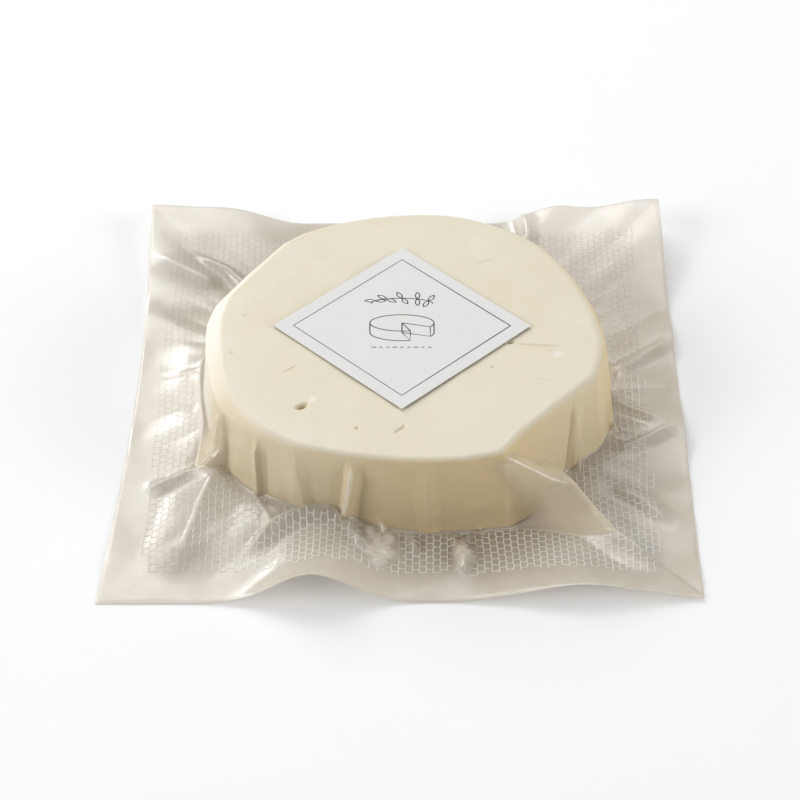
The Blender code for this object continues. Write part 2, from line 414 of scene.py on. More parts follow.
# The pouch
# Two sheets of clear nylon and polythene film, sealed together along all four sides round the
# cheese and drawn down by the vacuum. The upper sheet hugs the top, stands off the side in pleats
# and meets the lower one at the foot, and both run out together as a creased, wavy border.
POUCH_CORNERS = [
    (0.0786, -0.0805, 0.0), (0.0770, 0.0825, 0.0088),
    (-0.0747, 0.0825, 0.0064), (-0.0786, -0.0825, 0.0),
]
CORNER_FADE = 0.30

# How far each side is drawn in at its middle, and its waves: place along the side from 0 to 1,
# height, spread. The sides go anticlockwise from the right one
SIDE_BOW = [-0.0003, 0.0008, 0.0026, -0.0004]
SIDE_WAVES = [
    [(0.405, 0.0026, 0.040), (0.663, 0.0024, 0.035)],
    [(0.215, 0.0044, 0.045), (0.829, 0.0024, 0.055)],
    [(0.280, 0.0014, 0.030)],
    [(0.356, 0.0102, 0.062), (0.805, 0.0058, 0.090)],
]
WAVE_REACH = 1.3

# Where the film is drawn up off the table by the foot: bearing, height, spread in degrees
FOOT_LIFTS = [(-121, 0.0043, 15), (177, 0.0050, 16), (-160, 0.0022, 8)]

# Pleats that stand off the side: bearing at the rim and at the foot, reach at the foot, half
# widths before and after the crest in degrees, how far down the side each starts, how it swings
# from one bearing to the other, and how steeply its crest falls at first
PLEATS = [
    (-133, -131, 0.0018, 1.9, 1.5, 0.0, 0.6, 1.3),
    (-104.4, -106.9, 0.0022, 2.6, 2.2, 0.0, 1.0, 1.2),
    (-28, -34, 0.0034, 1.4, 4.0, 0.0, 0.7, 1.4),
    (62, 65, 0.0100, 7.0, 7.0, 0.0, 0.5, 2.4),
    (145, 137, 0.0110, 7.0, 7.0, 0.0, 0.5, 2.4),
    (-98, -96, 0.0030, 3.0, 5.0, 0.66, 1.0, 1.3),
    (-72, -70, 0.0022, 4.0, 3.0, 0.65, 1.0, 1.3),
    (-12, -14, 0.0026, 3.0, 4.0, 0.45, 1.0, 1.3),
    (8, 10, 0.0036, 4.0, 3.0, 0.35, 1.0, 1.3),
    (36, 38, 0.0045, 5.0, 4.0, 0.25, 1.0, 1.3),
    (96, 98, 0.0040, 5.0, 5.0, 0.30, 1.0, 1.3),
]
PLEAT_CREST = 1.7

# Webs of loose film, each stretched flat from the side out to a crest and back: the bearings where
# it leaves the side at the rim and at the foot, how far past the crest it is back there, and the
# crest's points as share of the way down, bearing, distance from the middle and share of the
# height left
WEBS = [
    ((-68, -62), (2.5, 8.0), [
        (0.00, -62.5, 0.0566, 1.00), (0.28, -53.8, 0.0606, 0.69), (0.52, -46.8, 0.0655, 0.40),
        (0.78, -46.3, 0.0729, 0.16), (1.00, -46.4, 0.0811, 0.00),
    ]),
    ((-160, -164), (3.0, 6.0), [
        (0.00, -149.0, 0.0572, 1.00), (0.55, -149.0, 0.0600, 0.27), (0.78, -148.8, 0.0625, 0.13),
        (1.00, -148.6, 0.0665, 0.00),
    ]),
]
WEB_FLOW = 10
WEB_FILLET = 0.0010

# Creases across the border: the points each runs through, its height, and its half widths to the
# left and to the right of the way it runs
CREASES = [
    ([(-0.0500, -0.0330), (-0.0545, -0.0480), (-0.0605, -0.0760)], 0.0042, 0.0100, 0.0120),
    ([(-0.0110, -0.0545), (-0.0187, -0.0528), (-0.0245, -0.0526), (-0.0290, -0.0538),
      (-0.0340, -0.0566), (-0.0420, -0.0660)], 0.0034, 0.0044, 0.0028),
    ([(0.0560, -0.0010), (0.0720, -0.0130)], 0.0016, 0.0034, 0.0030),
    ([(0.0575, 0.0090), (0.0672, 0.0170), (0.0765, 0.0240)], 0.0016, 0.0030, 0.0040),
    ([(0.0570, -0.0240), (0.0656, -0.0195), (0.0770, -0.0130)], 0.0018, 0.0026, 0.0040),
    ([(0.0440, -0.0450), (0.0500, -0.0520), (0.0559, -0.0588), (0.0670, -0.0715)],
     0.0036, 0.0026, 0.0070),
    ([(0.0560, -0.0390), (0.0630, -0.0440), (0.0710, -0.0540)], 0.0018, 0.0050, 0.0030),
    ([(-0.0410, 0.0420), (-0.0522, 0.0547), (-0.0640, 0.0625)], 0.0024, 0.0024, 0.0022),
    ([(-0.0540, 0.0470), (-0.0760, 0.0600)], 0.0024, 0.0060, 0.0080),
    ([(-0.0480, -0.0320), (-0.0540, -0.0350), (-0.0607, -0.0371), (-0.0720, -0.0400)],
     0.0018, 0.0044, 0.0034),
    ([(0.0320, 0.0590), (0.0360, 0.0700), (0.0345, 0.0850)], 0.0026, 0.0030, 0.0044),
    ([(0.0120, -0.0560), (0.0165, -0.0735)], 0.0012, 0.0018, 0.0014),
    ([(-0.0152, -0.0545), (-0.0135, -0.0590), (-0.0095, -0.0660)], 0.0020, 0.0010, 0.0030),
    ([(0.0010, -0.0570), (0.0035, -0.0650)], 0.0016, 0.0009, 0.0022),
    ([(0.0190, -0.0560), (0.0150, -0.0610), (0.0165, -0.0740)], 0.0014, 0.0012, 0.0022),
    ([(-0.0395, -0.0470), (-0.0350, -0.0580)], 0.0018, 0.0010, 0.0024),
]

# Blisters where the upper film stands off the lower one by the foot, so that the net under them
# is lost in the milk: x, y, half sizes, height and turn in degrees
BLISTERS = [
    (-0.0068, -0.0625, 0.0052, 0.0090, 0.0008, 8),
    (0.0155, -0.0655, 0.0036, 0.0075, 0.0005, -6),
    (-0.0362, -0.0540, 0.0026, 0.0060, 0.0006, -18),
]
FILM_LOW = 0.00015
FILM_APART = 0.00030
FILM_CLINGS = 0.00022
FILM_OVER_TOP = 0.00024
FOOT_PUCKER = 0.0005
BORDER_RIPPLE = 0.00018
FILM_TUCK = 0.0035
FILM_STEPS_FRONT = 600
FILM_STEPS_BACK = 260
SIDE_MARGIN = 0.0085
END_MARGIN = 0.0098


def pleats_at(bearing, share):
    """How far the pleats stand off the side, and how steeply the film falls there at first."""
    reach = np.zeros_like(bearing)
    fall = np.full_like(bearing, FOOT_CURVE)
    for at_rim, at_foot, size, before, after, head, swing, crest_fall in PLEATS:
        down = min(1.0, max(0.0, (share - head) / (1 - head)))
        away = wrap(bearing - at_rim - (at_foot - at_rim) * down ** swing)
        widening = 0.45 + 0.55 * down
        near = np.where(away < 0, -away / before, away / after) / widening
        rise = np.clip(1 - near, 0.0, 1.0) ** PLEAT_CREST
        reach += size * down * rise
        if down > 0:
            fall = fall + (crest_fall - fall) * rise
    return reach, fall


def draw_webs(bearing, share, reach, left):
    """Draws the side's film out to the webs' crests: its reach, share of the height left and how
    near the crest each place is."""
    along_x, along_y = np.cos(np.radians(bearing)), np.sin(np.radians(bearing))
    left_round = np.broadcast_to(left, reach.shape)
    drawn, drawn_left, stretched = reach.copy(), left_round.copy(), np.zeros_like(reach)
    for leaves, returns, crest in WEBS:
        crest = np.array(crest)
        rows = crest[:, 1:].T
        crest_at, crest_reach, crest_left = [np.interp(share, crest[:, 0], row) for row in rows]
        crest_x, crest_y = (crest_reach * turned(math.radians(crest_at)) for turned in (math.cos, math.sin))
        leaves_at = leaves[0] + (leaves[1] - leaves[0]) * share
        returns_at = crest_at + returns[0] + (returns[1] - returns[0]) * share
        for at in (leaves_at, returns_at):
            wall_reach, wall_left = np.interp(at, bearing, reach), np.interp(at, bearing, left_round)
            wall_x, wall_y = (wall_reach * turned(math.radians(at)) for turned in (math.cos, math.sin))
            way_x, way_y = crest_x - wall_x, crest_y - wall_y
            straight = (wall_x * way_y - wall_y * way_x) / (along_x * way_y - along_y * way_x)
            if at < crest_at:
                within = (bearing > at - WEB_FLOW) & (bearing <= crest_at)
            else:
                within = (bearing < at) & (bearing > crest_at)
            part = (straight * along_x - wall_x) * way_x + (straight * along_y - wall_y) * way_y
            part = np.clip(part / (way_x ** 2 + way_y ** 2), 0.0, 1.0)
            stands = straight - reach
            out = reach + (stands + np.sqrt(stands ** 2 + WEB_FILLET ** 2)) / 2 * smooth(share / 0.08)
            drawn = np.where(within, np.maximum(out, drawn), drawn)
            drawn_left = np.where(within, wall_left + (crest_left - wall_left) * part, drawn_left)
            stretched = np.where(within, part, stretched)
    return drawn, drawn_left, stretched


def film_foot(bearing):
    """How far from the middle the upper film comes down on the lower one."""
    foot = rim_radius(bearing) + foot_spread(bearing) + pleats_at(bearing, 1.0)[0]
    return draw_webs(bearing, 1.0, foot, 0.0)[0]


def outline(bearing):
    """The cut edge of the pouch in each direction: x, y and lift off the table."""
    side = ((bearing + 45) % 360 // 90).astype(int)
    turn = (bearing + 45) % 90 - 45
    share = (np.tan(np.radians(turn)) + 1) / 2
    corners = np.array(POUCH_CORNERS)
    start, end = corners[side], corners[(side + 1) % 4]
    point = start + (end - start) * share[:, None]
    inward = np.stack([start[:, 1] - end[:, 1], end[:, 0] - start[:, 0]], -1)
    inward /= np.linalg.norm(inward, axis=1)[:, None]
    bow = np.array(SIDE_BOW)[side] * np.sin(math.pi * share)
    lift = start[:, 2] * (1 - smooth(share / CORNER_FADE))
    lift = lift + end[:, 2] * (1 - smooth((1 - share) / CORNER_FADE))
    for number, waves in enumerate(SIDE_WAVES):
        for where, height, spread in waves:
            wave = height * np.exp(-0.5 * ((share - where) / spread) ** 2)
            lift = lift + np.where(side == number, wave, 0.0)
    return point[:, 0] + inward[:, 0] * bow, point[:, 1] + inward[:, 1] * bow, lift


def border(bearing, share):
    """The lower film between the cheese's foot (0) and the pouch's cut edge (1)."""
    angle = np.radians(bearing)
    foot = film_foot(bearing)
    edge_x, edge_y, edge_lift = outline(bearing)
    x = foot * np.cos(angle) * (1 - share) + (edge_x - CHEESE_X) * share
    y = foot * np.sin(angle) * (1 - share) + (edge_y - CHEESE_Y) * share
    lift = edge_lift * share ** WAVE_REACH
    for at, height, spread in FOOT_LIFTS:
        lift = lift + height * hump(bearing, at, spread) * (1 - share) ** 2
    for points, height, left, right in CREASES:
        along, away = off_line(x, y, points)
        near = np.where(away < 0, -away / right, away / left)
        taper = smooth((along + 0.02) / 0.20) * smooth((1 - along) / 0.30)
        lift = lift + height * taper * np.clip(1 - near, 0.0, 1.0) ** 1.35
    pucker = np.abs(ripples(bearing, 0.0 * bearing, 9.0, 21)) ** 0.7
    lift = lift + FOOT_PUCKER * pucker * (1 - share) ** 1.5 * smooth(share / 0.08)
    lift = lift + BORDER_RIPPLE * (1 + ripples(x, y, 0.022, 22)) * smooth(share / 0.2)
    return x, y, lift + FILM_LOW


def blisters(x, y):
    rise = np.zeros_like(x)
    for centre_x, centre_y, half_x, half_y, height, turn in BLISTERS:
        turn = math.radians(turn)
        across = (x - centre_x) * math.cos(turn) + (y - centre_y) * math.sin(turn)
        along = (y - centre_y) * math.cos(turn) - (x - centre_x) * math.sin(turn)
        out = np.hypot(across / half_x, along / half_y) + 0.22 * ripples(x, y, 0.0050, 61)
        rise = np.maximum(rise, height * (1 - smooth(out - 0.12)))
    return rise * (1 + 0.45 * ripples(x, y, 0.0028, 62))


def build_film():
    bearing = bearings(FILM_STEPS_FRONT, FILM_STEPS_BACK)
    angle = np.radians(bearing)
    rim, radius = rim_radius(bearing), rim_round(bearing)
    top = CHEESE_HEIGHT + FILM_OVER_TOP
    rings, free, web, gathered_highlit = [], [], [], []

    def add(x, y, z, freedom, webbing=0.0, gathering_highlight=0.0):
        rings.append(np.stack([x + CHEESE_X, y + CHEESE_Y, z], -1))
        free.append(np.broadcast_to(freedom, x.shape))
        web.append(np.broadcast_to(webbing, x.shape))
        gathered_highlit.append(np.broadcast_to(gathering_highlight, x.shape))

    for share in np.linspace(0.15, 1.0, 8):
        reach = (rim - radius) * share
        add(reach * np.cos(angle), reach * np.sin(angle), np.full_like(reach, top), 0.0)
    for turn in np.linspace(9, 85, 9):
        out, down = shoulder(bearing, turn)
        reach = rim - radius + (radius + FILM_CLINGS) * out
        add(reach * np.cos(angle), reach * np.sin(angle), top - radius * down, 0.0)
    foot_z = border(bearing, 0.0)[2] + FILM_APART
    for share in np.linspace(0.0, 1.0, 31)[1:]:
        pleat, fall = pleats_at(bearing, share)
        relief = side_relief(bearing, share) * smooth((1 - share) / 0.25)
        clings = rim + FILM_CLINGS * (1 - share) + foot_spread(bearing) * share + relief
        reach, left, stretched = draw_webs(bearing, share, clings + pleat, (1 - share) ** fall)
        height = foot_z + (top - radius - foot_z) * left
        stands_off = smooth((pleat - 0.0003) / 0.0022)
        stands_off = np.maximum(stands_off, smooth(stretched * 1.5) * smooth(share / 0.10))
        # Fins and web crests are paler: partly the milkier gathered film, partly a painted highlight.
        gathering_highlight = smooth((relief - 0.0006) / 0.0014)
        gathering_highlight = np.maximum(gathering_highlight, 0.3 * smooth((stretched - 0.90) / 0.10) * smooth(share / 0.5))
        freedom = np.maximum(stands_off, smooth((share - 0.86) / 0.13))
        freedom = np.maximum(freedom, gathering_highlight)
        add(reach * np.cos(angle), reach * np.sin(angle), height, freedom, stands_off, gathering_highlight)
    edge_support = [0.9975, 1.0]
    for share in np.concatenate([np.linspace(0.0, 0.98, 42)[1:], edge_support]):
        x, y, lift = border(bearing, share)
        blister = blisters(x, y)
        apart = FILM_APART * smooth((1.004 - share) / 0.03)
        # The blisters are paler: partly the milkier film standing free, partly a painted highlight.
        add(x, y, lift + apart + blister, 1.0, 0.0, 0.8 * smooth(blister / 0.0005))
    for share in np.concatenate([edge_support[:1], np.linspace(0.98, 0.0, 22)]):
        add(*border(bearing, share), 1.0)
    under = rim - FILM_TUCK
    add(under * np.cos(angle), under * np.sin(angle), np.full_like(under, FILM_LOW), 1.0)

    rings = np.array(rings)
    centres = [(CHEESE_X, CHEESE_Y, top), (CHEESE_X, CHEESE_Y, FILM_LOW)]
    mesh = closed_loft("pouch_film", rings, centres)
    places = np.concatenate([rings.reshape(-1, 3), np.array(centres)])
    embossed = embossing(places[:, 0], places[:, 1])
    paint(mesh, "free", np.concatenate([np.array(free).ravel(), [0.0, 1.0]]))
    paint(mesh, "web", np.concatenate([np.array(web).ravel(), [0.0, 0.0]]))
    paint(mesh, "gathered_highlit", np.concatenate([np.array(gathered_highlit).ravel(), [0.0, 0.0]]))
    paint(mesh, "sealed", 1 - embossed)
    paint(mesh, "shade", foot_shade(places[:, 0], places[:, 1]))
    return mesh


def embossing(x, y):
    """How much of the embossed net is left at a place: none within the seals along the sides."""
    low, high = np.array(POUCH_CORNERS).min(0), np.array(POUCH_CORNERS).max(0)
    to_side = np.minimum(x - low[0] - 0.0015, high[0] - 0.0006 - x)
    to_end = np.minimum(y - low[1], high[1] - y)
    uneven = 0.0012 * ripples(x, y, 0.012, 41)
    clear_side = smooth((to_side - SIDE_MARGIN + uneven) / 0.0020)
    return clear_side * smooth((to_end - END_MARGIN + uneven) / 0.0020)


def foot_shade(x, y):
    """How much shade is painted on the film, for the dim space under it: most by the foot on the near and
    right sides.
    """
    bearing = np.degrees(np.arctan2(y - CHEESE_Y, x - CHEESE_X))
    foot = rim_radius(bearing) + foot_spread(bearing)
    away = np.maximum(0.0, np.hypot(x - CHEESE_X, y - CHEESE_Y) - foot)
    turned_away = 0.04 + 0.96 * hump(bearing, -68, 20)
    return turned_away * np.exp(-(away / 0.017) ** 1.5) * smooth(away / 0.0020)


FILM_MILKY = (0.845, 0.800, 0.720, 1.0)
FILM_WARM = (0.790, 0.725, 0.620, 1.0)
FILM_CREAM = (0.890, 0.790, 0.580, 1.0)
FILM_GATHERED_HIGHLIGHT = (0.985, 0.930, 0.810, 1.0)
FILM_PAINTED_SHADE = (0.480, 0.395, 0.270, 1.0)
FILM_BARE = 0.04
SEAL_LINE_SCALE = 449.0
SEAL_LINE_HEIGHT = 0.022
CRINKLE_HEIGHT = 0.7


def film_material():
    """Clear film, milky where the two sheets lie free and next to nothing where it clings."""
    material, tree = new_material("vacuum_film")
    place = node(tree, "ShaderNodeTexCoord").outputs["Object"]
    free, web = painted(tree, "free"), painted(tree, "web")
    sealed, shade = painted(tree, "sealed"), painted(tree, "shade")
    gathered_highlit = painted(tree, "gathered_highlit")
    lines = node(
        tree, "ShaderNodeTexWave", {"bands_direction": "X"}, Vector=place, Scale=SEAL_LINE_SCALE,
        Distortion=0.4, Detail=1.0,
    )
    hatch = calculate(tree, "MULTIPLY", lines.outputs["Fac"], calculate(tree, "MULTIPLY", sealed, free))
    cloud = node(tree, "ShaderNodeTexNoise", Vector=place, Scale=60.0, Detail=3.0, Roughness=0.6)
    crumple = node(tree, "ShaderNodeTexNoise", Vector=place, Scale=75.0, Detail=2.0, Roughness=0.4)
    loose = calculate(tree, "MULTIPLY", crumple.outputs[0], calculate(tree, "MULTIPLY_ADD", free, 0.20, 0.08))
    crinkle = node(tree, "ShaderNodeTexNoise", Vector=place, Scale=420.0, Detail=2.0, Roughness=0.4)
    crinkled = calculate(tree, "MULTIPLY", crinkle.outputs[0], gathered_highlit)
    loose = calculate(tree, "MULTIPLY_ADD", crinkled, CRINKLE_HEIGHT, loose)
    height = calculate(tree, "MULTIPLY_ADD", hatch, SEAL_LINE_HEIGHT, loose)
    bump = node(tree, "ShaderNodeBump", Height=height, Strength=0.7, Distance=0.001)
    warm = node(tree, "ShaderNodeMapRange", Value=cloud.outputs[0], From_Min=0.35, From_Max=0.65)
    colour = blend_colours(tree, warm.outputs[0], FILM_WARM, FILM_MILKY)
    # Painted shade: the film is darkened by the foot, most on the near and right sides.
    colour = blend_colours(tree, calculate(tree, "MULTIPLY", shade, 0.85), colour, FILM_PAINTED_SHADE)
    colour = blend_colours(tree, calculate(tree, "MULTIPLY", web, 0.9), colour, FILM_CREAM)
    # Gathered film: milkier, and partly a painted highlight.
    colour = blend_colours(tree, gathered_highlit, colour, FILM_GATHERED_HIGHLIGHT)
    haze = node(tree, "ShaderNodeMapRange", Value=cloud.outputs[0], To_Min=0.48, To_Max=0.64)
    alpha = calculate(tree, "MULTIPLY_ADD", free, haze.outputs[0], FILM_BARE)
    alpha = calculate(tree, "MULTIPLY_ADD", web, 0.12, alpha)
    alpha = calculate(tree, "MULTIPLY_ADD", gathered_highlit, 0.32, alpha)
    surface = node(
        tree, "ShaderNodeBsdfPrincipled", Base_Color=colour, Roughness=0.20, IOR=1.9,
        Normal=bump.outputs[0],
    )
    through = node(tree, "ShaderNodeBsdfTranslucent", Color=colour, Normal=bump.outputs[0])
    glowing = node(tree, "ShaderNodeMixShader", s0=0.20, s1=surface.outputs[0], s2=through.outputs[0])
    clear = node(tree, "ShaderNodeBsdfTransparent")
    shader = node(tree, "ShaderNodeMixShader", s0=alpha, s1=clear.outputs[0], s2=glowing.outputs[0])
    finish_material(tree, shader)
    return material


film_skin = film_material()
film = place_piece("pouch_film", build_film(), film_skin)
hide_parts("vacuum_pack")
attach(film, "root")


# The embossed net
# The lower sheet is rolled with a net of fine raised ribs, so that air can be drawn out between
# the sheets. The ribs run along the pouch with short bars set brickwise between them, and stop
# short of the sealed sides. They are the film itself, so they are clear and a little milky.
COLUMN_PITCH = 0.00186
BAR_PITCH = 0.0025
RIB_SWAY = 0.00010
RIB_RADIUS = 0.00025
RIB_LIFT = 0.00020
RIB_FLATTEN = 0.7
RIB_SIDES = 5
RIB_FOOT_GAP = 0.0006
RIB_PRESSED = 0.93
RIB_FAINT = 0.07
RIB_WHITE = (0.930, 0.905, 0.850, 1.0)
RIB_WARM = (0.870, 0.820, 0.730, 1.0)


def build_net_lines():
    """The ribs' middle lines, laid flat: four points to a bar pitch along each column."""
    low, high = np.array(POUCH_CORNERS).min(0), np.array(POUCH_CORNERS).max(0)
    columns = int((high[0] - low[0]) / COLUMN_PITCH)
    rows = int((high[1] - low[1]) / BAR_PITCH) * 4
    column, row = np.meshgrid(np.arange(columns), np.arange(rows), indexing="ij")
    has_bar = (row % 4 == 0) & (column % 2 == 0) | (row % 4 == 2) & (column % 2 == 1)
    meets_bar = (row % 4 == 2) & (column % 2 == 0) | (row % 4 == 0) & (column % 2 == 1)
    x = low[0] + column * COLUMN_PITCH + RIB_SWAY * (has_bar * 1.0 - meets_bar * 1.0)
    y = low[1] + row * BAR_PITCH / 4
    x = x + 0.0004 * ripples(x, y, 0.030, 51)
    bearing = np.degrees(np.arctan2(y - CHEESE_Y, x - CHEESE_X))
    around = bearings(FILM_STEPS_FRONT, FILM_STEPS_BACK)
    foot = np.interp(bearing, around, film_foot(around), period=360)
    kept = (embossing(x, y) > 0.35) & (np.hypot(x - CHEESE_X, y - CHEESE_Y) > foot + RIB_FOOT_GAP)
    kept &= blisters(x - CHEESE_X, y - CHEESE_Y) < 0.0003
    pressed = RIB_PRESSED * hump(bearing, -60, 46) + RIB_FAINT
    number = np.where(kept, np.cumsum(kept).reshape(kept.shape) - 1, -1)
    along = np.stack([number[:, :-1], number[:, 1:]], -1).reshape(-1, 2)
    across = np.stack([number[:-1], number[1:]], -1)[has_bar[:-1]].reshape(-1, 2)
    edges = np.concatenate([along, across])
    edges = edges[(edges >= 0).all(1)]
    points = np.stack([x[kept], y[kept], np.zeros(kept.sum())], -1)
    mesh = bpy.data.meshes.new("net_lines")
    mesh.from_pydata(points.tolist(), edges.tolist(), [])
    paint(mesh, "width", pressed[kept] * (0.55 + 0.45 * embossing(x, y)[kept]))
    return mesh


def line_tree(name, surface, from_below):
    """A nodes tree that lays lines on a surface and gives them body: ribs or printed lines."""
    tree = bpy.data.node_groups.new(name, "GeometryNodeTree")
    tree.is_modifier = True
    sockets = [
        ("Geometry", "NodeSocketGeometry"), ("Half Width", "NodeSocketFloat"),
        ("Flatten", "NodeSocketFloat"), ("Lift", "NodeSocketFloat"), ("Sides", "NodeSocketInt"),
        ("Material", "NodeSocketMaterial"),
    ]
    for label_text, kind in sockets:
        tree.interface.new_socket(label_text, in_out="INPUT", socket_type=kind)
    tree.interface.new_socket("Geometry", in_out="OUTPUT", socket_type="NodeSocketGeometry")
    given = tree.nodes.new("NodeGroupInput").outputs
    width = node(tree, "GeometryNodeInputNamedAttribute", {"data_type": "FLOAT"}, Name="width")
    curve = node(tree, "GeometryNodeMeshToCurve", Mesh=given["Geometry"])
    sized = node(
        tree, "GeometryNodeSetCurveRadius", Curve=curve.outputs[0], Radius=width.outputs[0],
    )
    section = node(
        tree, "GeometryNodeCurvePrimitiveCircle", Resolution=given["Sides"], Radius=given["Half Width"],
    )
    body = node(
        tree, "GeometryNodeCurveToMesh", Curve=sized.outputs[0], Profile_Curve=section.outputs[0],
        Fill_Caps=True,
    )
    place = node(tree, "ShaderNodeSeparateXYZ", s0=tree.nodes.new("GeometryNodeInputPosition").outputs[0])
    start_height = -0.02 if from_below else 0.2
    start = node(
        tree, "ShaderNodeCombineXYZ", X=place.outputs[0], Y=place.outputs[1], Z=start_height,
    )
    under = node(tree, "GeometryNodeObjectInfo", Object=surface)
    ray = node(
        tree, "GeometryNodeRaycast", Target_Geometry=under.outputs["Geometry"],
        Source_Position=start.outputs[0], Ray_Direction=(0.0, 0.0, 1.0 if from_below else -1.0),
        Ray_Length=0.5,
    )
    found = node(tree, "ShaderNodeSeparateXYZ", s0=ray.outputs["Hit Position"])
    squashed = calculate(tree, "MULTIPLY_ADD", place.outputs[2], given["Flatten"], given["Lift"])
    level = calculate(tree, "ADD", found.outputs[2], squashed)
    laid = node(tree, "ShaderNodeCombineXYZ", X=place.outputs[0], Y=place.outputs[1], Z=level)
    moved = node(tree, "GeometryNodeSetPosition", Geometry=body.outputs[0], Position=laid.outputs[0])
    soft = node(tree, "GeometryNodeSetShadeSmooth", Geometry=moved.outputs[0])
    real = node(tree, "GeometryNodeRealizeInstances", Geometry=soft.outputs[0])
    coated = node(tree, "GeometryNodeSetMaterial", Geometry=real.outputs[0], Material=given["Material"])
    output = tree.nodes.new("NodeGroupOutput")
    tree.links.new(coated.outputs[0], output.inputs["Geometry"])
    return tree


def grow_lines(name, mesh, tree, values):
    """Runs a nodes tree on a mesh of lines and keeps its result as a plain mesh."""
    piece = place_piece(name, mesh)
    modifier = piece.modifiers.new(name, "NODES")
    modifier.node_group = tree
    for item in tree.interface.items_tree:
        if item.in_out == "INPUT" and item.name in values:
            modifier[item.identifier] = values[item.name]
    seen = bpy.context.evaluated_depsgraph_get()
    grown = bpy.data.meshes.new_from_object(piece.evaluated_get(seen), depsgraph=seen)
    piece.modifiers.remove(modifier)
    piece.data = grown
    return piece


def net_material():
    """The film where it is raised: whiter, with a brighter gleam."""
    material, tree = new_material("embossed_ribs")
    place = node(tree, "ShaderNodeTexCoord").outputs["Object"]
    cloud = node(tree, "ShaderNodeTexNoise", Vector=place, Scale=120.0, Detail=3.0)
    colour = blend_colours(tree, cloud.outputs[0], RIB_WARM, RIB_WHITE)
    haze = node(tree, "ShaderNodeMapRange", Value=cloud.outputs[0], To_Min=0.60, To_Max=0.90)
    width = painted(tree, "width")
    pressed = node(tree, "ShaderNodeMapRange", Value=width, From_Min=0.04, From_Max=0.5, To_Min=0.02)
    alpha = calculate(tree, "MULTIPLY", haze.outputs[0], pressed.outputs[0])
    shader = node(
        tree, "ShaderNodeBsdfPrincipled", Base_Color=colour, Roughness=0.18, IOR=1.8, Alpha=alpha,
    )
    finish_material(tree, shader)
    return material


net_values = {"Half Width": RIB_RADIUS, "Flatten": RIB_FLATTEN, "Lift": RIB_LIFT, "Sides": RIB_SIDES}
net_values["Material"] = net_material()
net = grow_lines("embossed_net", build_net_lines(), line_tree("rib_lines", film, True), net_values)
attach(net, "root")


# The label
# A square of white uncoated paper, set cornerwise and pressed on by hand after packing, so it
# lies flat on the film, with its corners a hair proud.
label_low, label_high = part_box("label")
LABEL_X = (label_low.x + label_high.x) / 2
LABEL_Y = (label_low.y + label_high.y) / 2
PAPER_GAP = 0.00006
LABEL_Z = label_low.z + PAPER_GAP
LABEL_HALF_DIAGONAL = (label_high.x - label_low.x) / 2
LABEL_CELLS = 44
CORNER_CURL = 0.00008
PAPER_WAVE = 0.00002
PAPER_THICKNESS = 0.00014
PAPER_WHITE = (0.765, 0.762, 0.742, 1.0)
PAPER_SHADE = (0.735, 0.732, 0.712, 1.0)


def label_height(x, y):
    """The paper's under side, from the label's middle: almost level, corners a hair up."""
    out = np.hypot(x, y) / LABEL_HALF_DIAGONAL
    return LABEL_Z + CORNER_CURL * out ** 6 + PAPER_WAVE * ripples(x, y, 0.020, 31) * out


def build_label():
    side = np.linspace(-1.0, 1.0, LABEL_CELLS + 1)
    first, second = np.meshgrid(side, side, indexing="ij")
    x = (first - second) * LABEL_HALF_DIAGONAL / 2
    y = (first + second) * LABEL_HALF_DIAGONAL / 2
    under = np.stack([x + LABEL_X, y + LABEL_Y, label_height(x, y)], -1).reshape(-1, 3)
    count = len(under)
    points = np.concatenate([under + (0, 0, PAPER_THICKNESS), under])
    number = np.arange(count).reshape(LABEL_CELLS + 1, LABEL_CELLS + 1)
    corners = [number[:-1, :-1], number[1:, :-1], number[1:, 1:], number[:-1, 1:]]
    upper = np.stack(corners, -1).reshape(-1, 4)
    faces = upper.tolist() + (upper[:, ::-1] + count).tolist()
    rim = np.concatenate([number[:, 0], number[-1, 1:], number[-2::-1, -1], number[0, -2:0:-1]])
    for here, there in zip(rim.tolist(), np.roll(rim, -1).tolist()):
        faces.append((here, here + count, there + count, there))
    mesh = bpy.data.meshes.new("paper_label")
    mesh.from_pydata(points.tolist(), [], faces)
    return mesh


def paper_material():
    """Uncoated paper: short fibres in the surface and a faint cloudiness in its white."""
    material, tree = new_material("label_paper")
    place = node(tree, "ShaderNodeTexCoord").outputs["Object"]
    stretched = node(tree, "ShaderNodeMapping", Vector=place, Scale=(1.0, 2.6, 1.0))
    fibre = node(tree, "ShaderNodeTexNoise", Vector=stretched.outputs[0], Scale=1800.0, Detail=3.0)
    cloud = node(tree, "ShaderNodeTexNoise", Vector=place, Scale=70.0, Detail=2.0)
    colour = blend_colours(tree, cloud.outputs[0], PAPER_SHADE, PAPER_WHITE)
    bump = node(tree, "ShaderNodeBump", Height=fibre.outputs[0], Strength=0.2, Distance=0.0001)
    shader = node(
        tree, "ShaderNodeBsdfPrincipled", Base_Color=colour, Roughness=0.62, Normal=bump.outputs[0],
    )
    finish_material(tree, shader)
    return material


label = place_piece("paper_label", build_label(), paper_material())
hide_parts("label")
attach(label, "root")


